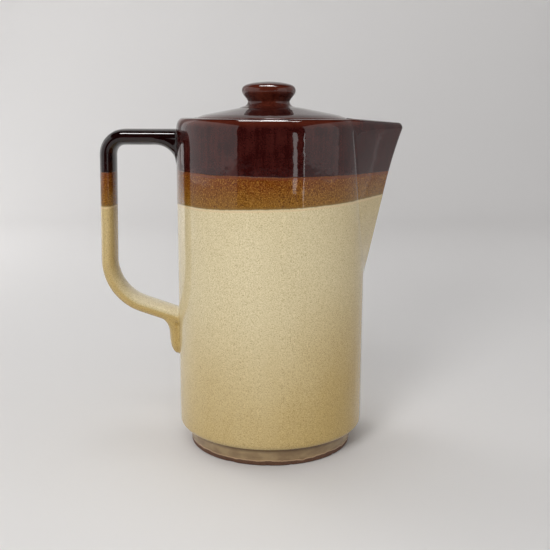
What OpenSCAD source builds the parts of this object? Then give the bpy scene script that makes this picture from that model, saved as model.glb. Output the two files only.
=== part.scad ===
// Stoneware coffee pot: a straight-sided body on a turned foot, with a V-shaped pouring beak,
// a squared strap handle and an inset lid that lifts out of its seat.
// Millimetres, +Z up. The origin is on the body's axis, on the table.
// The beak points along +X and the handle along -X.

/* [Body] */
// Outside diameter of the body
body_d = 123; // [110:1:135]
// Height of the shoulder above the table
body_h = 216; // [205:1:235]
// Thickness of the body wall
wall = 5; // [4:0.5:6]
// Radius of the rounded bottom corner of the wall
corner_r = 4.5; // [3:0.5:4.5]
// Height of the inside floor above the table
floor_z = 14.5; // [14:0.5:20]

/* [Foot] */
// Diameter of the foot ring where it stands on the table
foot_d = 107; // [100:1:107]
// Height of the foot ring, which is the step under the body
foot_h = 12.5; // [11:0.5:13]
// Width of the flat standing face of the foot ring
foot_w = 6.5; // [5:0.5:8]
// How far the foot ring widens towards its top, on the radius
foot_taper = 1; // [0:0.5:1.5]
// Depth of the hollow under the base
base_hollow = 7; // [4:0.5:8]

/* [Shoulder and lid seat] */
// Height of the shoulder ring, which closes in the top of the wall
shoulder_h = 10; // [9:0.5:12]
// Height of the rounded outer edge of the shoulder
shoulder_round_h = 7.5; // [5:0.5:8]
// Width of the rounded outer edge of the shoulder
shoulder_round_w = 4; // [3:0.5:5]
// Diameter of the recess that the lid drops into
recess_d = 98.8; // [98.4:0.2:100]
// Depth of the recess below the shoulder
recess_h = 3.8; // [3:0.2:4.5]
// Diameter of the hole inside the ledge that carries the lid
seat_d = 88; // [86:0.5:89]

/* [Beak] */
// Reach of the beak's lip from the body's axis
beak_reach = 85.4; // [80:0.5:88]
// Height above the table at which the beak leaves the body
beak_foot_z = 115; // [100:1:130]
// Thickness of the beak's walls
beak_wall = 5; // [4:0.5:5.5]
// Radius of the beak's front edge
nose_r = 3.5; // [3:0.5:4.5]
// How far the last few centimetres of the front edge flare outwards
lip_flare = 2.4; // [0:0.2:3]
// How far the lip lies below the shoulder
lip_drop = 2.7; // [0:0.1:4]

/* [Handle] */
// Distance of the handle's centreline from the body's axis, at the top corner
handle_top_x = 105; // [100:0.5:112]
// Distance of the handle's centreline from the body's axis, at the bottom corner
handle_low_x = 109; // [100:0.5:115]
// Height of the centreline of the top bar
handle_top_z = 204; // [198:0.5:205]
// Height at which the centrelines of the upright and the lower bar cross
handle_low_z = 103.4; // [98:0.5:110]
// Drop of the lower bar between its corner and the body's axis
handle_low_drop = 37; // [20:0.5:40]
// Centreline radius of the top corner
handle_top_r = 11.2; // [9:0.2:16]
// Centreline radius of the bottom corner
handle_low_r = 24; // [16:0.5:28]
// Width of the strap
strap_w = 23; // [18:0.5:26]
// Thickness of the strap at its top end
strap_t_top = 9.6; // [8:0.1:11]
// Thickness of the strap at its lower end
strap_t_low = 7.6; // [6.5:0.1:10]
// Height of the lowest point of the tail that is pressed down the wall
tail_z = 61; // [55:1:70]
// Thickness of the tail in front of the wall
tail_t = 7.2; // [5:0.1:8]
// Centreline radius of the bend where the tail turns down the wall
tail_bend_r = 12; // [8:0.5:14]

/* [Lid] */
// Diameter of the lid
lid_d = 97.4; // [96.8:0.2:98]
// Height of the lid's edge
lid_edge_h = 4.4; // [3.5:0.1:5]
// Rise of the domed top between its edge and the knob
dome_rise = 6.8; // [4:0.2:10]
// Thickness of the dome
dome_t = 4.8; // [4:0.2:6]
// Outside diameter of the flange that keeps the lid in place
flange_d = 85.4; // [83:0.2:86]
// Thickness of the flange
flange_t = 4.4; // [3.5:0.1:5]
// Length of the flange below the lid's seat
flange_h = 14; // [10:0.5:20]
// Gap between the lid and its seat
seat_gap = 0.1; // [0.05:0.05:0.3]

/* [Knob] */
// Largest diameter of the knob
knob_d = 34.8; // [28:0.2:40]
// Diameter of the knob's neck
neck_d = 27; // [20:0.5:28]
// Height of the knob above the dome
knob_h = 15.9; // [13:0.1:20]
// Sideways offset of the knob, which is set on by hand
knob_offset = -1.8; // [-2.5:0.1:2.5]

/* [Hidden] */
$fn = 96;

body_r = body_d / 2;
bore_r = body_r - wall;
foot_r = foot_d / 2;
foot_hole_r = foot_r - foot_w;
ledge_z = body_h - recess_h;
wall_top = body_h - shoulder_h;
lid_r = lid_d / 2;
lid_z = ledge_z + seat_gap;
lid_edge_z = lid_z + lid_edge_h;
dome_r = 17;                              // radius at which the dome meets the knob's root
dome_top_z = lid_edge_z + dome_rise;
flange_r = flange_d / 2;
knob_r = knob_d / 2;
neck_r = neck_d / 2;
arc_steps = 8;                            // segments in a rounded edge of a turned profile
cut = 1;                                  // overlap of a cutting shape past the face it cuts

cream = "#cdbd8c";
banded = "#8a5526";
dark_brown = "#3b1712";
bare_clay = "#7a5a45";

// ---- helpers ----

// An arc of an ellipse round centre, from angle a0 to a1
function arc(centre, rx, ry, a0, a1, steps = arc_steps) =
    [for (i = [0:steps]) let (a = a0 + (a1 - a0) * i / steps) centre + [rx * cos(a), ry * sin(a)]];

// The vector of length 1 that points the same way
function unit(v) = v / norm(v);

// The rounded corner at b between the lines from a and to c, as points on an arc of radius r
function corner(a, b, c, r, steps) =
    let (u = unit(a - b), v = unit(c - b), half = acos(u * v) / 2, m = b + unit(u + v) * r / sin(half),
         p = b + u * r / tan(half) - m, q = b + v * r / tan(half) - m,
         turn = acos(p * q / (r * r)), side = sign(p[0] * q[1] - p[1] * q[0]))
    [for (i = [0:steps]) let (a = side * turn * i / steps)
        m + [p[0] * cos(a) - p[1] * sin(a), p[0] * sin(a) + p[1] * cos(a)]];

// Joins rings of the same number of points into one closed solid. The points of a ring run
// clockwise, seen from the far end.
module loft(rings) {
    n = len(rings[0]);
    last = len(rings) - 1;
    points = [for (ring = rings) each ring];
    sides = [for (k = [0:last - 1], i = [0:n - 1], upper = [0:1])
        let (a = k * n + i, b = k * n + (i + 1) % n)
        upper ? [a, b + n, a + n] : [a, b, b + n]];
    first_cap = [[for (i = [n - 1:-1:0]) i]];
    last_cap = [[for (i = [0:n - 1]) last * n + i]];
    polyhedron(points = points, faces = concat(sides, first_cap, last_cap), convexity = 6);
}

// ---- body ----

// The straight wall, rounded in to its bottom edge and open behind the beak
module body_wall() {
    color(cream) difference() {
        rotate_extrude() polygon(concat(
            [[bore_r, foot_h], [body_r - corner_r, foot_h]],
            arc([body_r - corner_r, foot_h + corner_r], corner_r, corner_r, -90, 0),
            [[body_r, wall_top], [bore_r, wall_top]]));
        pouring_channel();
    }
}

// The floor of the pot, set into the wall and stepped to sit in the foot ring
module base_disc() {
    color(cream) rotate_extrude() polygon([
        [0, base_hollow], [foot_hole_r, base_hollow], [foot_hole_r, foot_h],
        [bore_r, foot_h], [bore_r, floor_z], [0, floor_z]]);
}

// The turned foot ring, left without glaze where it stands
module foot_ring() {
    bevel = 0.8;
    color(bare_clay) rotate_extrude() polygon([
        [foot_hole_r, bevel], [foot_hole_r + bevel, 0], [foot_r - bevel, 0], [foot_r, bevel],
        [foot_r + foot_taper, foot_h], [foot_hole_r, foot_h]]);
}

// The ring that closes in the top of the wall and carries the lid on a sunk ledge
module shoulder_ring() {
    recess_r = recess_d / 2;
    seat_r = seat_d / 2;
    ledge_t = 5;                          // thickness of the ledge at the hole
    slope_w = 4;                          // how far the sloping underside starts in from the bore
    round_x = body_r - shoulder_round_w;
    round_z = body_h - shoulder_round_h;
    square_r = round_x - 1;               // where the square edge under the crest starts
    color(dark_brown) difference() {
        union() {
            rotate_extrude() polygon(concat(
                [[seat_r, ledge_z - ledge_t], [bore_r - slope_w, wall_top], [body_r, wall_top]],
                arc([round_x, round_z], shoulder_round_w, shoulder_round_h, 0, 90),
                [[recess_r, body_h], [recess_r, ledge_z], [seat_r, ledge_z]]));
            // under the beak's crest the edge stays square, so that the beak butts against it
            intersection() {
                translate([0, 0, wall_top]) difference() {
                    cylinder(r = body_r, h = shoulder_h);
                    translate([0, 0, -cut]) cylinder(r = square_r, h = shoulder_h + 2 * cut);
                }
                beak_form();
            }
        }
        pouring_channel();
        above_crest();
    }
}

// ---- beak ----

flare_h = 28;                             // height over which the lip flares
tangent_share = 0.82;                     // how near the beak's sides come to touching the body
beak_steps = 14;                          // levels of the beak
foot_crowding = 1.2;                      // how much closer the levels lie towards the beak's foot

// Distance of the beak's front edge from the axis at a height: straight, with a flared lip
function beak_front(z) =
    let (lip_z = body_h - lip_drop,
         slope = (beak_reach - lip_flare - body_r) / (lip_z - beak_foot_z),
         f = max(0, (z - lip_z + flare_h) / flare_h))
    body_r + slope * (z - beak_foot_z) + lip_flare * f * f;

// The angle round the body at which the beak's side leaves the wall, a little short of a tangent
function beak_spread(z) = tangent_share * acos(body_r / beak_front(z));

// The point on the body where the side starts, and the middle of the rounded front edge
function beak_root(z) = body_r * [cos(beak_spread(z)), sin(beak_spread(z))];
function nose_middle(z) = [beak_front(z) - nose_r, 0];

// The direction in which the flat side of the beak faces
function side_angle(z) =
    let (v = beak_root(z) - nose_middle(z)) atan2(v[1], v[0]) - acos(nose_r / norm(v));

// One level of the beak, as a wedge with a rounded front. The sides move in by inset, the wall's
// thickness. They run on past the root by a share of the way to their point nearest the axis, so
// that they cross the body's surface, and the rear edge lies at back times that distance.
function beak_level(z, inset, front_r, share, back) =
    let (a = side_angle(z), n = [cos(a), sin(a)], root = beak_root(z), off = root * n,
         start = root + share * (off * n - root) - inset * n,
         m = [(off - inset - front_r) / n[0], 0],
         nose = arc(m, front_r, front_r, a, -a, 6))
    [for (p = concat([start * back, start], nose,
                     [[start[0], -start[1]], [start[0] * back, -start[1] * back]])) [p[0], p[1], z]];

// The whole outside of the beak, running back into the body. Its foot tapers almost to a point,
// so the levels lie closer together there.
module beak_form() {
    low = beak_foot_z + 2;                // where the wedge is deep enough to build
    rear = 0.6;
    loft([for (i = [0:beak_steps])
        beak_level(low + (body_h - low) * pow(i / beak_steps, foot_crowding), 0, nose_r, 1, rear)]);
}

// The pouring channel: the space inside the beak, open to the pot, and the V-shaped opening that
// it makes through the shoulder and the beak's crest
module pouring_channel() {
    low = beak_foot_z + 9;                // where the channel is as wide as it is deep
    front_r = 2.5;
    widening = 0.35;                      // how far its sides run on behind the root
    back = (seat_d / 2 - cut) / bore_r;
    loft([for (i = [0:beak_steps])
        beak_level(low + (body_h + cut - low) * i / beak_steps, beak_wall, front_r, widening, back)]);
}

// The space above the crest, which slopes down from the shoulder to the lip
module above_crest() {
    x = beak_root(body_h)[0];
    translate([x, 0, body_h]) rotate([0, atan2(lip_drop, beak_reach - x), 0])
        translate([0, -body_r, 0]) cube([body_r, body_d, shoulder_h]);
}

// The beak: its outside, less the body, the channel and everything above the crest
module beak() {
    color(banded) difference() {
        beak_form();
        cylinder(r = body_r, h = body_h + cut);
        pouring_channel();
        above_crest();
    }
}

// ---- handle ----

root_depth = 4;                           // how far the strap runs into the wall before it is cut off
tail_bite = 1;                            // how far the back of the tail lies inside the wall
tail_swell = 3.2;                         // how much thicker the tail gets than the strap's end
tail_narrowing = 0.14;                    // share of its width that the tail loses

// The height of the lower bar's centreline at a distance from the axis
function low_bar_z(x) = handle_low_z - handle_low_drop * (1 - x / handle_low_x);

// The centreline of the strap in the XZ plane: out of the wall, round the loop and back into it
strap_path =
    let (x = body_r - root_depth, a = [-x, handle_top_z], b = [-handle_top_x, handle_top_z],
         c = [-handle_low_x, handle_low_z], d = [-x, low_bar_z(x)])
    concat([a], corner(a, b, c, handle_top_r, 8), corner(b, c, d, handle_low_r, 10), [d]);

// The centreline of the tail, which leaves the lower bar and turns down the wall
tail_x = body_r + tail_t / 2 - tail_bite;
tail_start_x = tail_x + tail_bend_r;
bend_steps = 8;
tail_steps = 6;
tail_path =
    let (a = [-tail_start_x, low_bar_z(tail_start_x)], b = [-tail_x, low_bar_z(tail_x)],
         c = [-tail_x, tail_z], bend = corner(a, b, c, tail_bend_r, bend_steps), low = bend[bend_steps])
    concat([a], bend, [for (i = [1:tail_steps]) low + (c - low) * i / tail_steps]);

// The direction of a path at its point i
function heading(path, i) = unit(path[min(i + 1, len(path) - 1)] - path[max(i - 1, 0)]);

// A strap along a path: its cross-section is a flat oval, whose size [thickness, width] is given
// for each point
module strap(path, sizes) {
    fullness = 0.55;                      // 1 is an ellipse, and less is squarer
    angles = [for (a = [0:15:345]) a];
    loft([for (i = [0:len(path) - 1])
        let (p = path[i], d = heading(path, i), half = sizes[i] / 2)
        [for (a = angles)
            let (c = half[0] * sign(cos(a)) * pow(abs(cos(a)), fullness),
                 s = half[1] * sign(sin(a)) * pow(abs(sin(a)), fullness))
            [p[0] - d[1] * c, s, p[1] + d[0] * c]]]);
}

// A concave web under the top bar, in the corner that the bar makes with the wall
module web() {
    r = 13;
    lap = 0.4;                            // how far it reaches up into the bar
    z = handle_top_z - strap_t_top / 2 + lap;
    w = strap_w - 5;                      // a little narrower than the flat of the bar
    translate([-body_r - r, w / 2, z]) rotate([90, 0, 0]) linear_extrude(w)
        polygon(concat([[r + cut, lap], [r + cut, -r]], arc([0, -r], r, r, 0, 90), [[0, lap]]));
}

// The strap, its tail and the web, cut off at the body's surface
module handle() {
    last = len(strap_path) - 1;
    tail_last = len(tail_path) - 1;
    tail_from = strap_t_low - 0.6;        // thickness where the tail leaves the lower bar
    tail_end = 0.9;                       // how far the rounded end closes, as a share of the section
    color(banded) difference() {
        union() {
            strap(strap_path, [for (i = [0:last])
                [strap_t_top + (strap_t_low - strap_t_top) * i / last, strap_w]]);
            strap(tail_path, [for (i = [0:tail_last])
                let (s = i / tail_last, end = sqrt(1 - tail_end * pow(s, 8)))
                [(tail_from + (tail_t + tail_swell - strap_t_low) * min(1, 2 * s)) * end,
                 strap_w * (1 - tail_narrowing * s * s) * end]]);
            web();
        }
        cylinder(r = body_r, h = body_h + cut);
    }
}

// ---- lid ----

// The domed disc, thickened at its edge and flat where it rests on the ledge
module lid_dome() {
    edge = 1.6;                           // radius of its rounded edge
    hollow_h = 2.2;                       // depth of the dome's hollow at the flange
    inner_r = flange_r - flange_t;
    // points of its top: distance from the axis, share of the rise
    crown = [[lid_r - 8, 0.27], [dome_r + 9, 0.74], [dome_r, 1]];
    color(dark_brown) rotate_extrude() polygon(concat(
        [[0, dome_top_z - dome_t], [dome_r, dome_top_z - dome_t],
         [inner_r, lid_z + hollow_h], [inner_r, lid_z], [lid_r - edge, lid_z]],
        arc([lid_r - edge, lid_z + edge], edge, edge, -90, 0, 4),
        arc([lid_r - edge, lid_edge_z - edge], edge, edge, 0, 80, 4),
        [for (p = crown) [p[0], lid_edge_z + dome_rise * p[1]]],
        [[0, dome_top_z]]));
}

// The ring under the lid that drops inside the seat
module lid_flange() {
    bevel = 1;
    low = lid_z - flange_h;
    color(bare_clay) rotate_extrude() polygon([
        [flange_r - flange_t, lid_z], [flange_r - flange_t, low + bevel], [flange_r - flange_t + bevel, low],
        [flange_r - bevel, low], [flange_r, low + bevel], [flange_r, lid_z]]);
}

// The mushroom knob: a waisted neck under a flattened ball
module lid_knob() {
    z = dome_top_z;
    waist_w = 2.6;                        // half-axes of the hollow round the neck
    waist_h = knob_h * 0.2;
    ball_w = 9;                           // half-axes of the ball's rounding
    ball_h = knob_h * 0.28;
    ball_z = z + knob_h * 0.65;           // height of the widest part
    cheek = [[0.7, 0.33], [2.2, 0.45]];   // distance beyond the neck, share of the knob's height
    color(dark_brown) translate([knob_offset, 0, 0]) rotate_extrude() polygon(concat(
        [[0, z], [neck_r + waist_w - 1, z]],
        arc([neck_r + waist_w, z + waist_h], waist_w, waist_h, 235, 180, 4),
        [for (p = cheek) [neck_r + p[0], z + knob_h * p[1]]],
        arc([knob_r - ball_w, ball_z], ball_w, ball_h, -20, 90, 10),
        [[0, z + knob_h]]));
}

body_wall();
base_disc();
foot_ring();
shoulder_ring();
beak();
handle();
lid_dome();
lid_flange();
lid_knob();
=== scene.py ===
"""Looks of a banded stoneware coffee pot with a V-shaped beak, a strap handle and a loose lid."""
import logging
import math
from collections.abc import Callable, Sequence
from dataclasses import dataclass, replace
from enum import Enum
from typing import Union

import bmesh
import bpy
from mathutils import Matrix, Quaternion, Vector


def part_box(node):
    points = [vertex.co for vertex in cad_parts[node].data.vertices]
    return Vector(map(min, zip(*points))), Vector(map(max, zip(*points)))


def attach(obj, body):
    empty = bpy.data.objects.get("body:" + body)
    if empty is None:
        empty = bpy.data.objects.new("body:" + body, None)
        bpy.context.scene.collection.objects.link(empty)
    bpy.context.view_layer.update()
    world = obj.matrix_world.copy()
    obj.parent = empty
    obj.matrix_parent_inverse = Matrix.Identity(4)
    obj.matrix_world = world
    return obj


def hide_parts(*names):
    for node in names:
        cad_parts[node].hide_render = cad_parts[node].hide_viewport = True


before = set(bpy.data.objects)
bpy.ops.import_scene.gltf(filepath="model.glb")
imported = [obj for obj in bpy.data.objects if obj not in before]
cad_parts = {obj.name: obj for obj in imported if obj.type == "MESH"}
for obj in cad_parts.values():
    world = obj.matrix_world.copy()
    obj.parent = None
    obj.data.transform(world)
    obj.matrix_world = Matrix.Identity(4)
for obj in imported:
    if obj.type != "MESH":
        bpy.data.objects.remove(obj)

LOG = logging.getLogger("coffee_pot")
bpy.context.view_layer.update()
MM = 0.001
FULL_TURN = 2 * math.pi
SHARP = math.radians(35)
GLAZE_IOR = 1.5
OVAL_POWER = 0.93

Point = tuple[float, float]
Place = tuple[float, float, float]
Colour = tuple[float, float, float]
CLAY: Colour = (0.330, 0.215, 0.135)


class Rides(Enum):
    """The bodies of the pot that move apart."""

    POT = "pot"
    LID = "lid"


class Job(Enum):
    """What a light panel does."""

    REFLECTS = "is mirrored in the glaze"
    LIGHTS = "lights things up"


class Slot(Enum):
    """The record's material slots."""

    BODY = "glazed_body"
    BANDS = "banded_glaze"
    DARK = "dark_glaze"
    FOOT = "bare_foot"
    UNDERSIDE = "lid_underside"


def size_of(node: str) -> tuple[Vector, Vector]:
    """Give the lowest and the highest corner of a node in the frame, in millimetres."""
    low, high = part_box(node)
    return Vector(low) / MM, Vector(high) / MM


def show(name: str, data: bpy.types.ID) -> bpy.types.Object:
    """Put an object with a mesh, a light or a camera into the scene, and give it back."""
    thing = bpy.data.objects.new(name, data)
    bpy.context.scene.collection.objects.link(thing)
    return thing


def arc(centre: Point, radii: Point, start: float, stop: float, steps: int) -> list[Point]:
    """Make points on a stretch of an ellipse, from one angle in degrees to another."""
    angles = [math.radians(start + (stop - start) * i / steps) for i in range(steps + 1)]
    return [(centre[0] + radii[0] * math.cos(a), centre[1] + radii[1] * math.sin(a)) for a in angles]


def spread_out(start: float, stop: float, steps: int) -> list[float]:
    """Make evenly spaced values from start to stop, both included."""
    return [start + (stop - start) * i / steps for i in range(steps + 1)]


def mix(a: float, b: float, share: float) -> float:
    """Give the value that lies at a share of the way from a to b."""
    return a + (b - a) * share


def ease(low: float, high: float, value: float) -> float:
    """Give 0 below low, 1 above high and a smooth rise between them."""
    t = min(max((value - low) / (high - low), 0.0), 1.0)
    return t * t * (3 - 2 * t)


# ---- shader graphs ----

Value = Union["Channel", float, Sequence[float]]


@dataclass(frozen=True)
class Channel:
    """A number that a shader works out, which Python expressions can do maths on."""

    tree: bpy.types.NodeTree
    socket: bpy.types.NodeSocket

    def _maths(self, operation: str, *values: Value) -> "Channel":
        """Add a Math node that takes the values in order, and give its result."""
        node = self.tree.nodes.new("ShaderNodeMath")
        node.operation = operation
        for socket, value in zip(node.inputs, values):
            plug(self.tree, socket, value)
        return Channel(self.tree, node.outputs[0])

    def __add__(self, other: Value) -> "Channel":
        """Add."""
        return self._maths("ADD", self, other)

    def __radd__(self, other: Value) -> "Channel":
        """Add, from the right."""
        return self._maths("ADD", other, self)

    def __sub__(self, other: Value) -> "Channel":
        """Subtract."""
        return self._maths("SUBTRACT", self, other)

    def __rsub__(self, other: Value) -> "Channel":
        """Subtract from something."""
        return self._maths("SUBTRACT", other, self)

    def __mul__(self, other: Value) -> "Channel":
        """Multiply."""
        return self._maths("MULTIPLY", self, other)

    def __rmul__(self, other: Value) -> "Channel":
        """Multiply, from the right."""
        return self._maths("MULTIPLY", other, self)

    def __truediv__(self, other: Value) -> "Channel":
        """Divide."""
        return self._maths("DIVIDE", self, other)

    def size(self) -> "Channel":
        """Drop the sign."""
        return self._maths("ABSOLUTE", self)


def plug(tree: bpy.types.NodeTree, socket: bpy.types.NodeSocket, value: Value) -> None:
    """Link a channel to a socket, or set the socket's own number, vector or colour."""
    if isinstance(value, Channel):
        tree.links.new(value.socket, socket)
    elif isinstance(value, (int, float)):
        socket.default_value = value
    else:
        wide = len(socket.default_value) == 4 and len(value) == 3
        socket.default_value = (*value, 1.0) if wide else tuple(value)


class Graph:
    """A material and the node tree that it is mixed in."""

    def __init__(self, name: str) -> None:
        """Start an empty material."""
        self.material = bpy.data.materials.new(name)
        self.material.use_nodes = True
        self.tree = self.material.node_tree
        self.tree.nodes.clear()
        self.place = self.vector("SCALE", self.out(self.node("ShaderNodeTexCoord"), "Object"), Scale=1 / MM)
        axes = self.node("ShaderNodeSeparateXYZ", Vector=self.place)
        self.x, self.y, self.z = (self.out(axes, i) for i in range(3))
        flat = self.vector("MULTIPLY", self.place, (1.0, 1.0, 0.0))
        length = self.node("ShaderNodeVectorMath", {"operation": "LENGTH"}, Vector=flat)
        self.reach = self.out(length, "Value")

    def node(self, kind: str, settings: dict[str, str] | None = None, **sockets: Value) -> bpy.types.Node:
        """Add a node: settings go on the node itself, sockets fill its inputs by name, with _ for a space."""
        node = self.tree.nodes.new(kind)
        for key, value in (settings or {}).items():
            setattr(node, key, value)
        for key, value in sockets.items():
            plug(self.tree, node.inputs[key.replace("_", " ")], value)
        return node

    def out(self, node: bpy.types.Node, output: int | str = 0) -> Channel:
        """Give one of a node's outputs as a channel."""
        return Channel(self.tree, node.outputs[output])

    def vector(self, operation: str, a: Value, b: Value | None = None, **sockets: Value) -> Channel:
        """Add a Vector Math node, with one or two vectors and other inputs by name."""
        node = self.node("ShaderNodeVectorMath", {"operation": operation}, **sockets)
        plug(self.tree, node.inputs[0], a)
        if b is not None:
            plug(self.tree, node.inputs[1], b)
        return self.out(node, "Vector")

    def noise(self, grain: float, detail: float = 2.0, stretch: Place | None = None,
              roughness: float = 0.5) -> Channel:
        """Make noise whose grains are about that many millimetres across.

        Args:
            grain: The size of a grain in millimetres.
            detail: How many finer layers it has.
            stretch: How much longer a grain is along each axis, or None.
            roughness: How strong the finer layers are.

        Returns:
            The noise, round about 0.5.
        """
        where = self.place if stretch is None else self.vector("DIVIDE", self.place, stretch)
        return self.out(self.node("ShaderNodeTexNoise", Vector=where, Scale=1 / grain, Detail=detail,
                                  Roughness=roughness))

    def sway(self, grain: float, reach: float, detail: float = 2.0) -> Channel:
        """Make noise that swings about 0, by half of the reach at most."""
        return (self.noise(grain, detail) - 0.5) * reach

    def specks(self, spacing: float, radius: float, share: float) -> Channel:
        """Make round specks, each in a cell of its own.

        Args:
            spacing: The cells' size in millimetres.
            radius: The specks' radius as a share of the spacing.
            share: How many of the cells hold a speck, from 0 to 1.

        Returns:
            1 in a speck and 0 outside.
        """
        cells = self.node("ShaderNodeTexVoronoi", Vector=self.place, Scale=1 / spacing)
        chance = self.out(self.node("ShaderNodeSeparateColor", Color=self.out(cells, "Color")))
        chosen = self.step(chance, 1 - share, 1 - share + 0.01)
        return (1 - self.step(self.out(cells, "Distance"), radius * 0.6, radius)) * chosen

    def step(self, channel: Channel, low: float, high: float) -> Channel:
        """Make a smooth step, which is 0 where the channel is low and 1 where it is high."""
        return self.out(self.node("ShaderNodeMapRange", {"interpolation_type": "SMOOTHSTEP"}, Value=channel,
                                  From_Min=low, From_Max=high))

    def band(self, channel: Channel, half: float) -> Channel:
        """Make a soft line where a channel is 0, which fades out at half on either side."""
        return 1 - self.step(channel.size(), 0.0, half)

    def blend(self, share: Value, a: Value, b: Value) -> Channel:
        """Mix two colours: share says how much of the second one there is."""
        node = self.node("ShaderNodeMix", {"data_type": "RGBA"})
        for index, value in ((0, share), (6, a), (7, b)):
            plug(self.tree, node.inputs[index], value)
        return self.out(node, 2)

    def facing_up(self) -> Channel:
        """Give how far the surface faces up, where wet glaze settles thickest and where light from above is
        painted on.
        """
        normal = self.out(self.node("ShaderNodeNewGeometry"), "Normal")
        return self.out(self.node("ShaderNodeSeparateXYZ", Vector=normal), "Z")

    def clay(self, shade: float) -> Channel:
        """Mix the colour of bare clay with a darker shade of itself."""
        return self.blend(self.noise(0.8, 4.0), CLAY, tuple(shade * c for c in CLAY))

    def finish(self, colour: Value, roughness: Value, height: Channel) -> bpy.types.Material:
        """Close the material with its colour, its roughness and its relief in millimetres."""
        bump = self.node("ShaderNodeBump", Strength=1.0, Distance=MM, Height=height)
        shader = self.node("ShaderNodeBsdfPrincipled", Base_Color=colour, Roughness=roughness, IOR=GLAZE_IOR,
                           Normal=self.out(bump))
        self.node("ShaderNodeOutputMaterial", Surface=self.out(shader))
        return self.material


# ---- finishes ----


@dataclass(frozen=True)
class GlazeLine:
    """The edge of a dipped glaze, a plane that is a little out of level."""

    height: float
    rise_x: float
    rise_y: float

    def above(self, g: Graph) -> Channel:
        """Give the height of a point above the line, in millimetres."""
        return g.z - self.height - g.x * self.rise_x - g.y * self.rise_y


@dataclass(frozen=True)
class EdgeRing:
    """A round edge that the dark glaze runs off, and how far the thin glaze and a painted highlight spread
    from it.
    """

    radius: float
    height: float
    spread: float

    def near(self, g: Graph) -> Channel:
        """Give 1 on the edge, fading to 0 at the spread."""
        return g.band(g.reach - self.radius, self.spread) * g.band(g.z - self.height, self.spread)


@dataclass(frozen=True)
class BareSeat:
    """A ledge that is wiped bare: its heights, its radii and how softly the glaze ends round it."""

    low: float
    high: float
    inner: float
    outer: float
    soft_z: float = 0.3
    soft_r: float = 0.4

    def on_it(self, g: Graph) -> Channel:
        """Give 1 on the ledge and 0 away from it."""
        above = g.step(g.z, self.low, self.low + self.soft_z)
        below = 1 - g.step(g.z, self.high - self.soft_z, self.high)
        outside = g.step(g.reach, self.inner, self.inner + self.soft_r)
        return above * below * outside * (1 - g.step(g.reach, self.outer - self.soft_r, self.outer))


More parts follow.
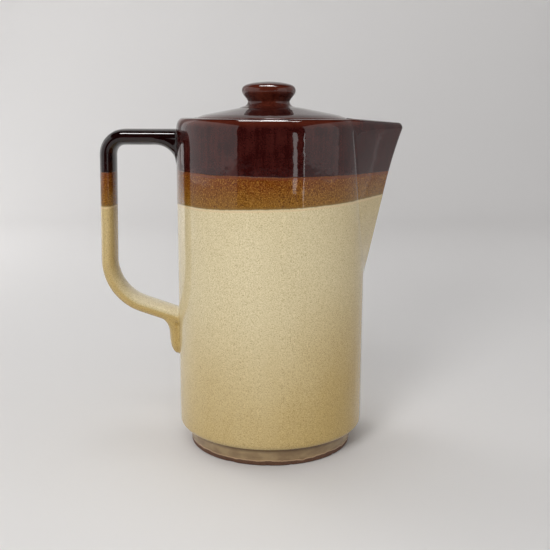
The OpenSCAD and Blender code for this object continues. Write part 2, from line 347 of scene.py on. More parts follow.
@dataclass(frozen=True)
class BandedGlaze:
    """Gloss stoneware glaze, dipped three times: cream, amber and dark red-brown from below."""

    name: str
    dark_line: GlazeLine = GlazeLine(183.3, -0.0101, 0.007)
    cream_line: GlazeLine = GlazeLine(164.9, 0.0375, 0.0157)
    dark: Colour = (0.022, 0.0026, 0.0024)
    dark_thin: Colour = (0.052, 0.0100, 0.0080)
    broken_edge_and_sheen: Colour = (0.105, 0.020, 0.010)
    amber_top: Colour = (0.160, 0.042, 0.005)
    amber_low: Colour = (0.215, 0.092, 0.009)
    mottle_dark: Colour = (0.062, 0.015, 0.002)
    mottle_pale: Colour = (0.370, 0.175, 0.030)
    rust: Colour = (0.150, 0.038, 0.014)
    olive: Colour = (0.190, 0.115, 0.026)
    cream: Colour = (0.645, 0.550, 0.342)
    cream_thick_and_lit: Colour = (0.860, 0.770, 0.560)
    ochre: Colour = (0.465, 0.325, 0.112)
    speck: Colour = (0.200, 0.125, 0.055)
    stain: Colour = (0.690, 0.500, 0.290)
    pooling_and_top_light: float = 0.0
    seat: BareSeat | None = None
    edge: EdgeRing | None = None

    def make(self) -> bpy.types.Material:
        """Mix the glaze."""
        g = Graph(self.name)
        drift = g.sway(24.0, 1.8, 3.0) + g.sway(3.0, 0.35)
        over_dark = self.dark_line.above(g) + drift
        over_cream = self.cream_line.above(g) + drift
        is_dark = g.step(over_dark, -0.4, 0.4)
        is_amber = g.step(over_cream, -0.45, 0.45)
        colour = g.blend(is_amber, self._cream(g, over_cream), self._amber(g, over_dark, over_cream))
        colour = g.blend(is_dark, colour, self._dark(g))
        roughness = 0.03 + g.noise(6.0, 3.0) * 0.04
        peel = g.sway(2.2, 0.010) + g.sway(7.0, 0.06) + g.sway(17.0, 0.11)
        height = peel + is_dark * 0.05 + is_amber * 0.03
        if self.seat is not None:
            bare = self.seat.on_it(g)
            colour = g.blend(bare, colour, g.clay(0.55))
            roughness = roughness + bare * 0.65
        return g.finish(colour, roughness, height)

    def _dark(self, g: Graph) -> Channel:
        """Mix the dark glaze: runs down it, and a redder, lighter tone where it thins over an edge, which
        also stands in as a painted highlight.
        """
        runs = g.noise(2.4, 3.0, stretch=(1.0, 1.0, 14.0))
        grain = g.noise(0.8, 3.0, roughness=0.6)
        cloud = g.noise(10.0, 2.0)
        dark = g.blend(g.step(runs * 0.3 + cloud * 0.3 + grain * 0.4, 0.40, 0.64), self.dark, self.dark_thin)
        # The redder edge tone is partly thin glaze and partly a painted highlight on the rounded edges.
        if self.edge is not None:
            dark = g.blend(self.edge.near(g) * (0.35 + g.noise(4.0) * 0.6), dark, self.broken_edge_and_sheen)
        return dark

    def _amber(self, g: Graph, over_dark: Channel, over_cream: Channel) -> Channel:
        """Mix the amber band: mottled, rusty under the dark glaze and olive along its lower edge."""
        tone = g.step(over_cream + g.sway(7.0, 9.0, 3.0), 2.0, 17.0)
        amber = g.blend(tone, self.amber_low, self.amber_top)
        mottle = g.noise(0.75, 2.0, roughness=0.6)
        amber = g.blend(g.step(mottle, 0.50, 0.66) * 0.85, amber, self.mottle_dark)
        amber = g.blend((1 - g.step(mottle, 0.34, 0.48)) * 0.75, amber, self.mottle_pale)
        amber = g.blend(g.band(over_dark + 0.9, 1.3) * 0.8, amber, self.rust)
        return g.blend(g.band(over_cream - 0.5, 1.5) * 0.7, amber, self.olive)

    def _cream(self, g: Graph, over_cream: Channel) -> Channel:
        """Mix the cream glaze: fine brown grain, stray specks, and ochre clouds towards the foot, darker
        there partly as painted shade.
        """
        # Painted shade, in part: the cream turns to the darker ochre towards the foot, as if the light fell
        # from above.
        low = 1 - g.step(g.z, -10.0, 140.0)
        cloud = (g.noise(45.0, 3.0, stretch=(1.0, 1.0, 2.0)) - 0.5) * 0.5
        warm = low * 0.85 + g.step(g.x, 5.0, 75.0) * 0.55 + cloud
        # Painted light and shade, in part: upward faces turn to the paler cream and sides and undersides to
        # the ochre, besides glaze pooling.
        if self.pooling_and_top_light:
            up = g.facing_up()
            warm = warm + (1 - g.step(up, -0.1, 0.7) - g.step(up, 0.3, 0.9)) * self.pooling_and_top_light
        cream = g.blend(g.step(warm, -0.1, 1.1), self.cream, self.ochre)
        cream = g.blend(1 - g.step(warm, -0.7, -0.1), cream, self.cream_thick_and_lit)
        grain = g.noise(0.62, 2.0, roughness=0.65)
        for share, tint in ((g.step(grain, 0.49, 0.70) * 0.75, (0.55, 0.50, 0.38)),
                            (1 - g.step(grain, 0.33, 0.49), (1.16, 1.18, 1.22))):
            cream = g.blend(share, cream, g.vector("MULTIPLY", cream, tint))
        cream = g.blend(g.specks(2.6, 0.13, 0.16) * 0.6, cream, self.speck)
        return g.blend(g.band(over_cream + 0.9, 1.0) * 0.6, cream, self.stain)


@dataclass(frozen=True)
class FootClay:
    """The foot's finish: bare red-brown clay where it stands, under a thin olive-grey glaze."""

    name: str
    glaze_from: float = 3.4
    clay: Colour = (0.062, 0.028, 0.016)
    clay_pale: Colour = (0.165, 0.082, 0.048)
    pits: Colour = (0.035, 0.018, 0.012)
    glaze: Colour = (0.330, 0.235, 0.120)
    glaze_dark: Colour = (0.230, 0.150, 0.078)
    glaze_edge: Colour = (0.560, 0.360, 0.210)
    painted_overhang_shade: Colour = (0.105, 0.058, 0.026)

    def make(self) -> bpy.types.Material:
        """Mix the finish."""
        g = Graph(self.name)
        edge = g.z - self.glaze_from + g.sway(9.0, 4.0, 4.0)
        glazed = g.step(edge, -0.5, 0.5)
        clay = g.blend(g.noise(1.1, 4.0, roughness=0.65), self.clay, self.clay_pale)
        clay = g.blend(g.specks(2.6, 0.2, 0.3) * 0.7, clay, self.pits)
        cloud = g.step(g.noise(5.0, 3.0, stretch=(2.0, 2.0, 1.0)), 0.3, 0.7)
        thin = g.blend(cloud, self.glaze, self.glaze_dark)
        thin = g.blend(g.band(edge - 0.3, 0.7) * 0.8, thin, self.glaze_edge)
        # Painted shade under the body's overhanging edge: the top of the foot's glaze darkens.
        thin = g.blend(g.step(g.z, 8.6, 11.4) * 0.85, thin, self.painted_overhang_shade)
        colour = g.blend(glazed, clay, thin)
        roughness = 0.82 - glazed * 0.62 + g.noise(2.0) * 0.1
        height = glazed * 0.12 + (1 - glazed) * g.sway(0.7, 0.12, 4.0) + g.sway(12.0, 0.1)
        return g.finish(colour, roughness, height)


@dataclass(frozen=True)
class FlangeGlaze:
    """The lid's hidden side: a thin brown wash that is wiped off the edges which touch the pot."""

    name: str
    low: float
    top: float
    wash: Colour = (0.085, 0.026, 0.014)

    def make(self) -> bpy.types.Material:
        """Mix the finish."""
        g = Graph(self.name)
        height = g.z + g.sway(8.0, 1.6, 3.0)
        wiped = (1 - g.step(height, self.low + 1.6, self.low + 2.4)) + g.step(g.z, self.top - 0.6, self.top)
        wash = g.blend(g.noise(2.0, 3.0), self.wash, tuple(1.7 * c for c in self.wash))
        colour = g.blend(wiped, wash, g.clay(0.6))
        return g.finish(colour, 0.22 + wiped * 0.55, g.sway(0.9, 0.05, 3.0) + g.sway(14.0, 0.1))


# ---- mesh work ----


@dataclass(frozen=True)
class Section:
    """One oval section of a strap that lies in the XZ plane, in millimetres."""

    middle: Vector
    out: Vector
    thick: float
    wide: float

    def point(self, angle: float) -> Vector:
        """Put a point of a unit circle on the section, which is a little fuller than an ellipse."""
        across, lift = (math.copysign(abs(v) ** OVAL_POWER, v) for v in (math.cos(angle), math.sin(angle)))
        return self.middle + Vector((0, across * self.wide / 2, 0)) + self.out * (lift * self.thick / 2)


class Clay:
    """A lump of clay: a bmesh in millimetres that becomes a finished piece."""

    def __init__(self) -> None:
        """Start with nothing."""
        self.bm = bmesh.new()

    def line(self, places: Sequence[Place]) -> tuple[list[bmesh.types.BMVert], list[bmesh.types.BMEdge]]:
        """Draw a line through places, and give its vertices and its edges."""
        ring = [self.bm.verts.new(place) for place in places]
        return ring, [self.bm.edges.new(pair) for pair in zip(ring, ring[1:])]

    def turn(self, profile: Sequence[Point], steps: int) -> "Clay":
        """Turn a profile of distances and heights round the Z axis, and give back the clay."""
        ring, edges = self.line([(r, 0.0, z) for r, z in profile])
        bmesh.ops.spin(self.bm, geom=[*ring, *edges], cent=(0, 0, 0), axis=(0, 0, 1), angle=FULL_TURN,
                       steps=steps, use_merge=True)
        return self

    def move(self, place: Callable[[Vector], Sequence[float]]) -> "Clay":
        """Move every vertex to where a function of its own place says, and give back the clay."""
        for vertex in self.bm.verts:
            vertex.co = place(vertex.co)
        return self

    def face_out(self) -> None:
        """Turn every face outwards."""
        bmesh.ops.recalc_face_normals(self.bm, faces=self.bm.faces)

    def close(self) -> "Clay":
        """Join what coincides, turn every face outwards and give back the clay."""
        bmesh.ops.remove_doubles(self.bm, verts=self.bm.verts, dist=1e-4)
        bmesh.ops.dissolve_degenerate(self.bm, edges=self.bm.edges, dist=1e-5)
        self.face_out()
        return self

    def sweep(self, sections: Sequence[Section]) -> "Clay":
        """Draw a strap through a row of sections, close its ends and give back the clay."""
        last = len(sections) - 1
        before: list[bmesh.types.BMEdge] = []
        for i, section in enumerate(sections):
            made = bmesh.ops.create_circle(self.bm, cap_ends=i in (0, last), radius=1.0, segments=36)
            for vertex in made["verts"]:
                vertex.co = section.point(math.atan2(vertex.co.y, vertex.co.x))
            ring = list(dict.fromkeys(e for v in made["verts"] for e in v.link_edges))
            if before:
                bmesh.ops.bridge_loops(self.bm, edges=[*before, *ring])
            before = ring
        return self

    def mesh(self, name: str) -> bpy.types.Mesh:
        """Use the clay up for a smooth mesh."""
        for face in self.bm.faces:
            face.smooth = True
        mesh = bpy.data.meshes.new(name)
        self.bm.to_mesh(mesh)
        self.bm.free()
        return mesh

    def piece(self, name: str, finish: bpy.types.Material, body: Rides, slot: Slot,
              stands_for: Sequence[str]) -> bpy.types.Object:
        """Fire the clay: make it an object with its finish and its place in the frame.

        Args:
            name: The piece's name.
            finish: Its material.
            body: The body that it rides on.
            slot: The record's material slot; not used.
            stands_for: The frame's nodes that it replaces.

        Returns:
            The object.
        """
        bmesh.ops.scale(self.bm, vec=(MM, MM, MM), verts=self.bm.verts)
        mesh = self.mesh(name)
        mesh.set_sharp_from_angle(angle=SHARP)
        mesh.materials.append(finish)
        piece = show(name, mesh)
        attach(piece, body.value)
        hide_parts(*stands_for)
        LOG.info("%s: %d faces on %s, for %s", name, len(mesh.polygons), body.value, ", ".join(stands_for))
        return piece


# ---- the pot ----


@dataclass
class Beak:
    """The V-shaped beak, as a bulge in the body's outline, in millimetres."""

    body_r: float
    top: float
    nose_r: float = 3.3
    foot: float = 112.2
    lean: float = 0.2150
    flare: float = 2.3
    flare_from: float = 176.0
    share: float = 0.82
    steady_z: float = 210.3
    inner_nose_r: float = 1.8
    crease_deep: float = 0.36
    crease_wide: float = 0.15
    crease_fade: Point = (130.0, 160.0)
    crease_turn: float = 0.2

    def front(self, z: float) -> float:
        """Give the distance of the beak's front edge from the axis at a height."""
        flare = max(0.0, (z - self.flare_from) / (self.steady_z - self.flare_from))
        return self.body_r + self.lean * (z - self.foot) + self.flare * flare ** 2

    def side(self, z: float) -> Point:
        """Give the angle that the beak's flat side faces at a height, and its distance from the axis."""
        front = self.front(z)
        if front <= self.body_r:
            return 0.0, front
        spread = self.share * math.acos(self.body_r / front)
        root = Vector((self.body_r * math.cos(spread), self.body_r * math.sin(spread)))
        to_root = root - Vector((front - self.nose_r, 0.0))
        angle = math.atan2(to_root.y, to_root.x) - math.acos(min(1.0, self.nose_r / to_root.length))
        return angle, root.x * math.cos(angle) + root.y * math.sin(angle)

    def outline(self, theta: float, z: float, inset: float) -> float:
        """Give the body's outline, with the beak in it.

        Args:
            theta: The direction from the axis, with 0 through the beak.
            z: The height.
            inset: How far inside the outer surface the outline lies.

        Returns:
            The distance from the axis.
        """
        angle, distance = self.side(min(z, self.steady_z))
        distance -= inset
        nose_r = max(self.nose_r - inset, self.inner_nose_r if inset > 0 else 0.0)
        nose_x = (distance - nose_r) / math.cos(angle)
        off = abs(theta) - angle
        turn_in = math.atan2(nose_r * math.sin(angle), nose_x + nose_r * math.cos(angle))
        if abs(theta) < turn_in:
            half_chord = math.sqrt(max(0.0, nose_r ** 2 - (nose_x * math.sin(theta)) ** 2))
            bulge = nose_x * math.cos(theta) + half_chord
        elif off <= 0:
            bulge = distance / math.cos(off)
        else:
            bulge = distance * (2 - 1 / math.cos(min(off, 1.0)))
        round_r = self.body_r - inset
        soft = 0.08 + 0.18 * inset
        step = bulge - round_r
        groove = 0.0
        if inset == 0 and abs(theta) > self.crease_turn:
            groove = self.crease_deep * math.exp(-(step / self.crease_wide) ** 2) * ease(*self.crease_fade, z)
        return (bulge + round_r + math.sqrt(step ** 2 + soft ** 2)) / 2 - groove

    def crest(self, x: float) -> float:
        """Give the height of the crest at a distance along the beak."""
        return self.top - 0.3 - 0.072 * max(0.0, x - 50.0)


@dataclass(frozen=True)
class Rung:
    """One ring of the pot's skin: where it lies round the body, and where in the beak's mouth."""

    inset: float
    z: float
    beak_inset: float
    beak_drop: float | None = None


@dataclass(frozen=True)
class Chip:
    """A small chip in the foot's standing edge: its middle and half width in degrees, and its depth."""

    at: float
    wide: float
    deep: float


@dataclass
class Pot:
    """The fired body: wall, floor, shoulder and beak in one skin, and the foot ring."""

    columns: int = 372
    spans: tuple[tuple[float, int], ...] = ((15.0, 38), (39.0, 64), (180.0, 84))
    wall: float = 5.0
    corner_r: float = 4.5
    floor: float = 14.5
    fillet: float = 7.0
    mouth_half: float = 33.2
    shoulder_w: float = 4.2
    shoulder_h: float = 7.8
    crest_h: float = 3.8
    seat_r: float = 49.5
    throat_r: float = 44.0
    lip_r: float = 1.0
    hollow_r: float = 46.9
    stand_r: float = 53.8
    chips: tuple[Chip, ...] = (Chip(-92.0, 1.4, 0.55), Chip(-75.5, 1.0, 0.40), Chip(-118.0, 2.2, 0.70),
                               Chip(-40.0, 1.2, 0.45), Chip(20.0, 1.6, 0.50), Chip(96.0, 1.3, 0.45),
                               Chip(158.0, 1.8, 0.60))

    def __post_init__(self) -> None:
        """Read the sizes that the frame fixes."""
        low, high = size_of("body_wall")
        self.radius = high.y
        self.step_z = low.z
        self.top = size_of("shoulder_ring")[1].z + 0.3
        self.foot_r = size_of("foot_ring")[1].y + 0.5
        self.hollow_z = size_of("base_disc")[0].z
        self.ledge_z = size_of("lid_dome")[0].z - 0.1
        self.beak = Beak(self.radius, self.top)

    def plain(self, line: Sequence[Point]) -> list[Rung]:
        """Make rings that run round the beak as they do round the body."""
        return [Rung(self.radius - x, z, self.radius - x) for x, z in line]

    def outside(self) -> list[Rung]:
        """List the skin's rings from the middle of the underside up to the rim."""
        r, step, hollow = self.radius, self.step_z, self.hollow_z
        corner = arc((r - self.corner_r, step + self.corner_r), (self.corner_r, self.corner_r), -90, 0, 8)
        heights = [*spread_out(24, 104, 8), *spread_out(107, 208.4, 46)]
        return self.plain([(0.0, hollow), (30.0, hollow), (self.hollow_r - 0.9, hollow),
                           (self.hollow_r, hollow + 0.9), (self.hollow_r, step), (50.0, step), *corner,
                           *((r, z) for z in heights)])

    def rim(self) -> list[Rung]:
        """List the rings over the rim and down past the lid's seat, or over the crest in the beak."""
        half = self.wall / 2
        over = [Rung(self.shoulder_w * (1 - x), self.top - self.shoulder_h * (1 - z), half * (1 - x),
                     self.crest_h * (1 - z)) for x, z in arc((0.0, 0.0), (1.0, 1.0), 8, 90, 10)]
        seat, lip, throat, ledge = self.seat_r, self.lip_r, self.throat_r, self.ledge_z
        recess = [(seat + 4.5, self.top + 0.15), (seat + lip, self.top + 0.2),
                  *arc((seat + lip, self.top - 0.8), (lip, lip), 105, 180, 4),
                  (seat, ledge + 0.6), (seat - 0.5, ledge), (throat + 1.0, ledge),
                  *arc((throat + 1.0, ledge - 1.0), (1.0, 1.0), 90, 180, 3),
                  (throat, ledge - 3.2), (throat + 0.8, ledge - 4.6), (throat + 6.0, ledge - 6.2),
                  (self.radius - 6.0, 203.0)]
        crest = 2.4
        drops = [(x, crest - z) for x, z in arc((half, 0.0), (half, crest), 84, 0, 6)]
        drops += [(self.wall, d) for d in spread_out(3.4, 12.0, len(recess) - len(drops) - 1)]
        return over + [Rung(self.radius - x, z, *drop) for (x, z), drop in zip(recess, drops)]

    def inside(self) -> list[Rung]:
        """List the rings from below the seat down to the middle of the floor."""
        bore, fillet = self.radius - self.wall, self.fillet
        return self.plain([*((bore, z) for z in (*spread_out(200, 112, 26), *spread_out(102, 22, 6))),
                           *arc((bore - fillet, self.floor + fillet), (fillet, fillet), 0, -90, 6),
                           (30.0, self.floor), (0.0, self.floor)])

    def crowd(self, turned: float) -> float:
        """Give the angle on the pot, where columns crowd at the beak, for one on the plain tube."""
        column = turned / FULL_TURN * self.columns
        start = 0.0
        for stop, count in self.spans:
            if column <= count:
                return math.radians(start + (stop - start) * column / count)
            column -= count
            start = stop
        return math.pi

    def place(self, rung: Rung, theta: float) -> Vector:
        """Give the place of the skin's point that is on a rung and in the direction theta."""
        if rung.inset >= self.radius - 0.01:
            return Vector((0.0, 0.0, rung.z))
        inset, z = rung.inset, rung.z
        if rung.beak_drop is not None:
            past_mouth = math.degrees(abs(theta)) - self.mouth_half
            in_mouth = rung.inset > self.shoulder_w + 0.01
            share = 1 - (ease(-3.0, 2.0, past_mouth) if in_mouth else ease(-9.2, 5.0, past_mouth))
            inset = mix(rung.inset, rung.beak_inset, share)
            x = self.beak.outline(theta, self.top, inset) * math.cos(theta)
            z = mix(rung.z, self.beak.crest(x) - rung.beak_drop, share)
        r = self.beak.outline(theta, z, inset)
        return Vector((r * math.cos(theta), r * math.sin(theta), z))

    def skin(self) -> bpy.types.Object:
        """Make the wall, floor, shoulder and beak as one skin."""
        rungs = self.outside() + self.rim() + self.inside()
        clay = Clay().turn([(1.0, float(k)) for k in range(len(rungs))], self.columns)

        def place(spot: Vector) -> Vector:
            """Move a point of the plain tube to its place on the pot."""
            turned = math.atan2(spot.y, spot.x)
            return self.place(rungs[round(spot.z)], math.copysign(self.crowd(abs(turned)), turned))

        glaze = BandedGlaze("banded glaze of the body", edge=EdgeRing(self.radius - 1.4, self.top - 1.6, 4.2),
                            seat=BareSeat(self.ledge_z - 1.2, self.ledge_z + 0.7, 43.6, 49.9))
        clay.move(place).close()
        return clay.piece("pot_body", glaze.make(), Rides.POT, Slot.BODY,
                          ("body_wall", "base_disc", "shoulder_ring", "beak"))

    def foot(self) -> bpy.types.Object:
        """Turn the foot ring and knock a few small chips out of its standing edge."""
        inner_r, stand_r, top_r, z = 47.0, self.stand_r, self.foot_r, self.step_z
        profile = [(inner_r, 1.0), *arc((inner_r + 0.9, 0.9), (0.9, 0.9), 190, 270, 4), (50.0, 0.0),
                   *arc((stand_r - 1.7, 1.3), (1.7, 1.3), -90, 0, 6),
                   *((mix(stand_r, top_r, t), mix(1.6, z - 4.2, t)) for t in spread_out(0, 1, 8)),
                   *arc((top_r + 3.4, z - 3.6), (3.4, 3.8), 176, 96, 8), (top_r + 3.0, z + 0.6),
                   (inner_r, z + 0.6), (inner_r, 7.0), (inner_r, 4.0), (inner_r, 1.0)]

        def place(spot: Vector) -> Vector:
            """Push a point of the standing edge in where a chip is missing."""
            degrees = math.degrees(math.atan2(spot.y, spot.x))
            edge = (1 - ease(0.4, 2.4, spot.z)) * ease(52.0, 53.2, math.hypot(spot.x, spot.y))
            bite = sum(c.deep * math.exp(-((degrees - c.at) / c.wide) ** 2) for c in self.chips) * edge
            worn = 0.12 * math.sin(math.radians(degrees * 3 + 40)) * edge
            keep = 1 - (bite + worn) / stand_r
            return Vector((spot.x * keep, spot.y * keep, spot.z + bite * 0.6))

        clay = Clay().turn(profile, 720).move(place).close()
        finish = FootClay("foot clay").make()
        return clay.piece("foot_ring_piece", finish, Rides.POT, Slot.FOOT, ("foot_ring",))

    def build(self) -> None:
        """Make both pieces of the pot."""
        self.skin()
        self.foot()


@dataclass
class Handle:
    """The strap handle with its web and its tail, luted to the wall, in millimetres."""

    top_x: float = 105.7
    low_x: float = 107.4
    top_z: float = 204.0
    low_z: float = 100.8
    drop: float = 36.5
    top_r: float = 11.2
    low_r: float = 32.0
    wide: float = 25.0
    thick_top: float = 10.5
    thick_low: float = 10.3
    tail_t: float = 7.3
    tail_z: float = 60.3
    tail_bend: float = 15.0
    web_r: float = 13.5
    pads: tuple[Point, ...] = ((184.0, 207.5), (54.0, 102.0))
    pad_half: float = 17.0
    grain: float = 0.62
    strokes: int = 7

    def __post_init__(self) -> None:
        """Read the body's radius from the frame."""
        self.wall_r = size_of("body_wall")[1].y

    def bar_z(self, x: float) -> float:
        """Give the height of the lower bar's middle at a distance from the axis."""
        return self.low_z - self.drop * (1 - x / self.low_x)

    @staticmethod
    def bend(before: Vector, at: Vector, after: Vector, radius: float, steps: int) -> list[Vector]:
        """Round the corner at a point with a bend, on the way from before to after."""
        into = (before - at).normalized()
        out = (after - at).normalized()
        half = into.angle(out) / 2
        middle = at + (into + out).normalized() * (radius / math.sin(half))
        first = at + into * (radius / math.tan(half)) - middle
        last = at + out * (radius / math.tan(half)) - middle
        turn = first.rotation_difference(last)
        axis, angle = turn.to_axis_angle()
        return [middle + Quaternion(axis, angle * i / steps) @ first for i in range(steps + 1)]

    @staticmethod
    def lay(path: Sequence[Vector], size: Callable[[float], Point]) -> list[Section]:
        """Lay sections along a path; size gives thickness and width for a share of its length."""
        lengths = [0.0]
        for a, b in zip(path, path[1:]):
            lengths.append(lengths[-1] + (b - a).length)
        sections = []
        for i, middle in enumerate(path):
            along = (path[min(i + 1, len(path) - 1)] - path[max(i - 1, 0)]).normalized()
            out = Vector((-along.z, 0.0, along.x))
            sections.append(Section(middle, out, *size(lengths[i] / lengths[-1])))
        return sections

    def strap(self) -> list[Section]:
        """Lay out the loop from the upper root to the lower one."""
        inside = self.wall_r - 3.0
        a = Vector((-inside, 0, self.top_z))
        b = Vector((-self.top_x, 0, self.top_z))
        c = Vector((-self.low_x, 0, self.low_z))
        d = Vector((-inside, 0, self.bar_z(inside)))
        straight = [a.lerp(b, t) for t in spread_out(0, 0.68, 8)]
        low = self.bend(b, c, d, self.low_r, 14)
        upright = self.bend(a, b, c, self.top_r, 12)
        side = [upright[-1].lerp(low[0], t) for t in spread_out(0.08, 0.92, 10)]
        bar = [low[-1].lerp(d, t) for t in spread_out(0.12, 1, 7)]
        return self.lay([*straight, *upright, *side, *low, *bar],
                        lambda t: (mix(self.thick_top, self.thick_low, t ** 0.8), self.wide - 1.2 * t))

    def web(self) -> list[Section]:
        """Lay out the web that thickens the top bar into the wall."""
        under = self.top_z - self.thick_top / 2
        sections = []
        for t in spread_out(0.0, 1.0, 14):
            out = self.web_r * t ** 1.6
            drop = self.web_r - math.sqrt(max(0.0, self.web_r ** 2 - (self.web_r - out) ** 2))
            thick = drop + self.thick_top * 0.8
            middle = Vector((-self.wall_r - out + 0.2, 0, under - drop + thick / 2))
            sections.append(Section(middle, Vector((0, 0, 1)), thick, self.wide + 2.6 * (1 - t) ** 4))
        root = replace(sections[0], middle=sections[0].middle + Vector((3.2, 0, 0)))
        return [root, *sections]

    def tail(self) -> list[Section]:
        """Lay out the tail that leaves the lower bar and is pressed down the wall."""
        x = self.wall_r + self.tail_t / 2 - 1.4
        start = x + self.tail_bend
        a = Vector((-start, 0, self.bar_z(start)))
        b = Vector((-x, 0, self.bar_z(x)))
        c = Vector((1.1 - x, 0, self.tail_z))
        bend = self.bend(a, b, c, self.tail_bend, 10)
        down = [bend[-1].lerp(c, math.sin(t * math.pi / 2)) for t in spread_out(0.1, 1, 12)]

        def size(t: float) -> Point:
            """Give the tail's thickness and width at a share of its length."""
            end = math.sqrt(max(0.03, 1 - max(0.0, (t - 0.72) / 0.29) ** 2.6))
            thick = mix(self.thick_low - 1.5, self.tail_t + 2.8, ease(0.05, 0.5, t)) - 1.6 * max(0.0, t - 0.5)
            return thick * end, (self.wide - 2.0 - 3.5 * t * t) * mix(1.0, end, 0.6)

        return self.lay([a, *bend, *down], size)

    def add_pad(self, clay: Clay, low: float, high: float) -> None:
        """Add a patch that lies just under the wall's surface, for the strap to flow out into."""
        inner, outer = self.wall_r - 2.6, self.wall_r - 0.07
        start = math.radians(180 - self.pad_half)
        corners = ((inner, low), (outer, low), (outer, high), (inner, high))
        ring = [clay.bm.verts.new((r * math.cos(start), r * math.sin(start), z)) for r, z in corners]
        bmesh.ops.spin(clay.bm, geom=[clay.bm.faces.new(ring)], cent=(0, 0, 0), axis=(0, 0, 1),
                       angle=math.radians(2 * self.pad_half), steps=48, use_merge=False)

    def build(self) -> bpy.types.Object:
        """Model the handle and knead its parts into one lump."""
        clay = Clay()
        for sections in (self.strap(), self.web(), self.tail()):
            clay.sweep(sections)
        for low, high in self.pads:
            self.add_pad(clay, low, high)
        clay.face_out()
        kneaded = self.knead(clay)
        # The handle's cream is painted paler on its top faces and darker on its sides, partly as light from
        # above.
        glaze = BandedGlaze("banded glaze of the handle", dark_line=GlazeLine(180.7, -0.0101, 0.007),
                            cream_line=GlazeLine(163.8, 0.0375, 0.0157), dark=(0.0050, 0.0012, 0.0012),
                            dark_thin=(0.014, 0.0030, 0.0028), pooling_and_top_light=0.75)
        return kneaded.piece("strap_handle", glaze.make(), Rides.POT, Slot.BANDS, ("handle",))

    def knead(self, clay: Clay) -> Clay:
        """Melt overlapping lumps into one closed skin with soft joins."""
        lump = show("lumps", clay.mesh("lumps"))
        remesh = lump.modifiers.new("knead", "REMESH")
        remesh.mode = "VOXEL"
        remesh.voxel_size = self.grain
        graph = bpy.context.evaluated_depsgraph_get()
        graph.update()
        joined = bpy.data.meshes.new_from_object(lump.evaluated_get(graph))
        bpy.data.objects.remove(lump)
        smooth = Clay()
        smooth.bm.from_mesh(joined)
        for _ in range(self.strokes):
            bmesh.ops.smooth_vert(smooth.bm, verts=smooth.bm.verts, factor=0.5, use_axis_x=True,
                                  use_axis_y=True, use_axis_z=True)
        smooth.face_out()
        return smooth


# ---- the lid ----


@dataclass
class Lid:
    """The loose lid: a domed disc, the flange under it and its knob, in millimetres."""

    steps: int = 256
    edge: float = 1.7
    flange_t: float = 4.4

    def __post_init__(self) -> None:
        """Read the sizes that the frame fixes."""
        low, high = size_of("lid_dome")
        self.seat_z = low.z
        self.dome_r = high.y
        low, high = size_of("lid_flange")
        self.flange_z = low.z
        self.flange_r = high.y

    def dome(self) -> bpy.types.Object:
        """Turn the domed disc."""
        r, z, e = self.dome_r, self.seat_z, self.edge
        inner = self.flange_r - self.flange_t
        crown = [(44.0, z + 5.75), (41.3, z + 6.35), (36.0, z + 7.4), (31.0, z + 8.35), (26.0, z + 9.3),
                 (20.7, z + 10.3), (17.0, z + 10.95), (12.0, z + 11.2), (6.0, z + 11.2), (0.0, z + 11.2)]
        profile = [(0.0, z + 6.4), (17.0, z + 6.0), (30.0, z + 4.2), (inner, z + 2.2), (inner, z),
                   (r - 1.2, z), *arc((r - 1.2, z + 1.2), (1.2, 1.2), -80, 0, 4),
                   *arc((r - e, z + 2.9), (e, 1.7), 0, 78, 6), *crown]
        glaze = BandedGlaze("dark glaze of the lid", edge=EdgeRing(r - 1.0, z + 4.0, 3.4),
                            dark=(0.024, 0.0040, 0.0034), dark_thin=(0.066, 0.0160, 0.0120))
        clay = Clay().turn(profile, self.steps).close()
        return clay.piece("lid_disc", glaze.make(), Rides.LID, Slot.DARK, ("lid_dome",))

    def flange(self) -> bpy.types.Object:
        """Turn the ring that keeps the lid in its seat."""
        outer, low, top = self.flange_r, self.flange_z, self.seat_z
        inner = outer - self.flange_t
        half = self.flange_t / 2
        profile = [(inner, top + 0.2), *((inner, z) for z in spread_out(top - 1, low + 4, 4)),
                   *arc((inner + half, low + half), (half, half), 180, 360, 12),
                   *((outer, z) for z in spread_out(low + 4, top - 1, 4)), (outer, top + 0.2),
                   (inner, top + 0.2)]
        glaze = FlangeGlaze("wiped glaze under the lid", low, top)
        clay = Clay().turn(profile, self.steps).close()
        return clay.piece("lid_locating_flange", glaze.make(), Rides.LID, Slot.UNDERSIDE, ("lid_flange",))

    def knob(self) -> bpy.types.Object:
        """Turn the mushroom knob, which sits a little off the lid's middle."""
        low, high = size_of("lid_knob")
        middle, ball, z = (low.x + high.x) / 2, high.y, low.z
        head = [(14.4, 4.9), (15.5, 6.2), (16.5, 7.5), (17.15, 8.8), (ball, 10.1), (17.2, 11.3),
                (16.55, 12.5), (15.5, 13.35), (14.1, 13.95), (12.4, 14.45), (10.0, 14.95), (7.4, 15.35),
                (4.0, 15.7), (0.0, 15.85)]
        profile = [(0.0, z - 2.0), (17.0, z - 2.0), (18.8, z - 0.85), (17.2, z - 0.05),
                   *((x, z + h) for x, h in arc((17.2, 3.3), (3.7, 3.3), 262, 180, 8)),
                   *((x, z + h) for x, h in head)]
        glaze = BandedGlaze("dark glaze of the knob", edge=EdgeRing(ball - 1.0, z + 11.4, 5.0),
                            dark=(0.042, 0.0060, 0.0036), dark_thin=(0.105, 0.0220, 0.0120))
        clay = Clay().turn(profile, 160).move(lambda spot: Vector((spot.x + middle, spot.y, spot.z)))
        return clay.close().piece("lid_knob_piece", glaze.make(), Rides.LID, Slot.DARK, ("lid_knob",))

    def build(self) -> None:
        """Make the lid's three pieces."""
        self.dome()
        self.flange()
        self.knob()


# ---- the studio ----


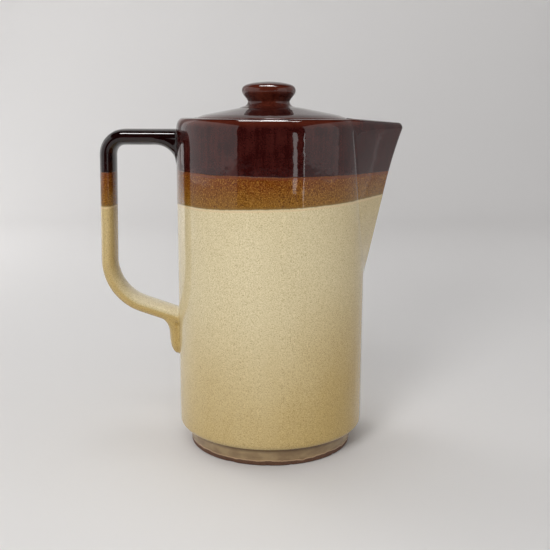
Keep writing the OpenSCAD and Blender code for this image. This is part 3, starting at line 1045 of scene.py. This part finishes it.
@dataclass(frozen=True)
class Panel:
    """A soft light: where it hangs, how large it is, how bright its face is and where it faces."""

    name: str
    place: Place
    size: Point
    glow: float
    aim: Place = (0.0, 0.0, 0.11)

    def hang(self, job: Job) -> None:
        """Hang the light, turn it towards its aim and let it do only its job."""
        light = bpy.data.lights.new(self.name, "AREA")
        light.shape = "RECTANGLE"
        light.size, light.size_y = self.size
        light.energy = self.glow * math.pi * self.size[0] * self.size[1]
        lamp = show(self.name, light)
        lamp.location = self.place
        lamp.visible_glossy = job is Job.REFLECTS
        lamp.visible_diffuse = job is Job.LIGHTS
        lamp.rotation_euler = (Vector(self.aim) - Vector(self.place)).to_track_quat("-Z", "Y").to_euler()


@dataclass(frozen=True)
class Studio:
    """A plain pale sweep under and behind the pot, soft lights and the camera."""

    eye: Place = (0.0, -0.5706, 0.2242)
    pitch: float = math.radians(11.03)
    yaw: float = math.radians(0.273)
    roll: float = math.radians(0.249)
    lens: float = 56.9
    front_y: float = -2.4
    sweep_y: float = 1.1
    sweep_r: float = 0.5
    sweep_half: float = 2.4
    sweep_top: float = 2.2
    paper: Colour = (0.78, 0.765, 0.755)
    room: Colour = (0.80, 0.80, 0.82)
    room_glow: float = 0.15

    def floor(self) -> None:
        """Lay the floor, curved up at the back."""
        bend = arc((self.sweep_y, self.sweep_r), (self.sweep_r, self.sweep_r), -90, 0, 24)
        line = [(self.front_y, 0.0), *bend, (self.sweep_y + self.sweep_r, self.sweep_top)]
        sheet = Clay()
        edges = sheet.line([(-self.sweep_half, y, z) for y, z in line])[1]
        made = bmesh.ops.extrude_edge_only(sheet.bm, edges=edges)
        moved = [v for v in made["geom"] if isinstance(v, bmesh.types.BMVert)]
        bmesh.ops.translate(sheet.bm, verts=moved, vec=(2 * self.sweep_half, 0, 0))
        sheet.face_out()
        mesh = sheet.mesh("paper_sweep")
        paper = bpy.data.materials.new("pale paper")
        paper.use_nodes = True
        shader = paper.node_tree.nodes["Principled BSDF"]
        shader.inputs["Base Color"].default_value = (*self.paper, 1.0)
        shader.inputs["Roughness"].default_value = 0.6
        mesh.materials.append(paper)
        show("paper_sweep", mesh)

    def camera(self) -> None:
        """Set the camera."""
        cp, sp = math.cos(self.pitch), math.sin(self.pitch)
        ahead = Vector((math.sin(self.yaw) * cp, math.cos(self.yaw) * cp, -sp))
        level = Vector((math.cos(self.yaw), -math.sin(self.yaw), 0.0))
        up = level.cross(ahead)
        right = level * math.cos(self.roll) + up * math.sin(self.roll)
        up = up * math.cos(self.roll) - level * math.sin(self.roll)
        turn = Matrix((right, up, -ahead)).transposed().to_4x4()
        lens = bpy.data.cameras.new("camera")
        lens.lens = self.lens
        lens.sensor_width = 36.0
        lens.clip_start = 0.01
        camera = show("camera", lens)
        camera.matrix_world = Matrix.Translation(self.eye) @ turn
        bpy.context.scene.camera = camera

    def lights(self) -> None:
        """Hang the lights and set the dim surroundings."""
        left, right, up = -0.95, 1.0, 1.25
        reflected = (
            Panel("left wall", (left, -0.1, 0.60), (2.1, 1.0), 0.92, (0.0, -0.1, 0.60)),
            Panel("right wall", (right, -0.68, 0.60), (1.14, 1.0), 0.92, (0.0, -0.68, 0.60)),
            Panel("far right wall", (right, 0.49, 0.60), (1.2, 1.0), 0.50, (0.0, 0.49, 0.60)),
            Panel("left skirting", (left, -0.1, 0.05), (2.1, 0.1), 0.35, (0.0, -0.1, 0.05)),
            Panel("right skirting", (right, -0.1, 0.05), (2.3, 0.1), 0.40, (0.0, -0.1, 0.05)),
            Panel("left box", (-0.25, 0.04, up), (0.16, 0.28), 30.0),
            Panel("middle box", (0.015, 0.04, up), (0.27, 0.28), 30.0),
            Panel("right box", (0.25, -0.10, up), (0.10, 0.28), 22.0),
            Panel("wide gap", (0.60, -1.18, 0.15), (0.10, 0.2), 2.6, (0.0, 0.0, 0.15)),
            Panel("narrow gap", (0.83, -1.08, 0.11), (0.025, 0.22), 4.0, (0.0, 0.0, 0.11)),
        )
        lighting = (
            Panel("key", (-0.47, -1.08, 0.60), (0.36, 0.28), 23.0),
            Panel("front fill", (-0.1, -1.05, 1.3), (0.9, 0.45), 4.2),
            Panel("overhead", (-0.05, 0.0, up), (0.5, 0.28), 2.5),
            Panel("left fill", (left, -0.2, 0.55), (1.4, 0.9), 0.3, (0.0, -0.2, 0.3)),
            Panel("right fill", (right, -0.3, 0.40), (1.4, 0.7), 1.0, (0.0, -0.3, 0.2)),
            Panel("back wash", (-0.5, 0.7, 1.7), (1.4, 0.5), 1.7, (-0.3, 1.5, 0.5)),
            Panel("back left", (-1.0, 0.75, 0.5), (0.7, 0.8), 3.2, (-0.4, 0.8, 0.0)),
            Panel("back right", (right, 0.75, 0.55), (0.7, 0.8), 1.0, (-0.1, 1.3, 0.3)),
        )
        for job, panels in ((Job.REFLECTS, reflected), (Job.LIGHTS, lighting)):
            for panel in panels:
                panel.hang(job)
        world = bpy.data.worlds.new("dim room")
        world.use_nodes = True
        sky = world.node_tree.nodes["Background"]
        sky.inputs["Color"].default_value = (*self.room, 1.0)
        sky.inputs["Strength"].default_value = self.room_glow
        world.cycles_visibility.glossy = False
        bpy.context.scene.world = world
        bpy.context.scene.view_settings.view_transform = "Standard"

    def build(self) -> None:
        """Set up the camera, the floor and the lights."""
        self.camera()
        self.floor()
        self.lights()


def main() -> None:
    """Build the studio, the pot, its handle and its lid in order."""
    logging.basicConfig(level=logging.INFO, format="%(name)s: %(message)s")
    Studio().build()
    Pot().build()
    Handle().build()
    Lid().build()


if __name__ == "__main__":
    main()
